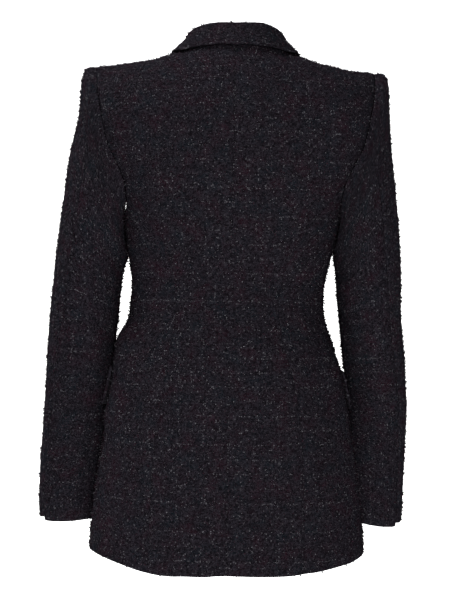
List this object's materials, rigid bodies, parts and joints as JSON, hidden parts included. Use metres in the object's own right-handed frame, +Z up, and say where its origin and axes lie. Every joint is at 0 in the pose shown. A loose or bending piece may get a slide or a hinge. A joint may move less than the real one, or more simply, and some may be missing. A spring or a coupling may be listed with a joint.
{
  "type": "tweed blazer",
  "caption": "Hollow, worn-form tailored tweed blazer with square shoulders, notched lapels, a nipped waist, a flared skirt, long sleeves and hip pocket flaps.",
  "frame": {"origin": "midway between the two points where the shoulder seams meet the collar, where the wearer's shoulders carry it", "axes": "+Z up, +X to the wearer's left, the front faces -Y"},
  "size_m": [0.5269, 0.2769, 0.7455],
  "materials": {
    "tweed": "black boucle tweed with fine silver and dark red yarns",
    "button": "black, satin"
  },
  "bodies": {
    "root": {"back_left": "tweed", "side_left": "tweed", "front_left": "tweed", "lapel_left": "tweed", "pocket_flap_left": "tweed", "sleeve_under_left": "tweed", "sleeve_upper_left": "tweed", "back_right": "tweed", "side_right": "tweed", "front_right": "tweed", "lapel_right": "tweed", "pocket_flap_right": "tweed", "sleeve_under_right": "tweed", "sleeve_upper_right": "tweed", "collar": "tweed", "button_1": "button", "button_2": "button"}
  },
  "joints": []
}
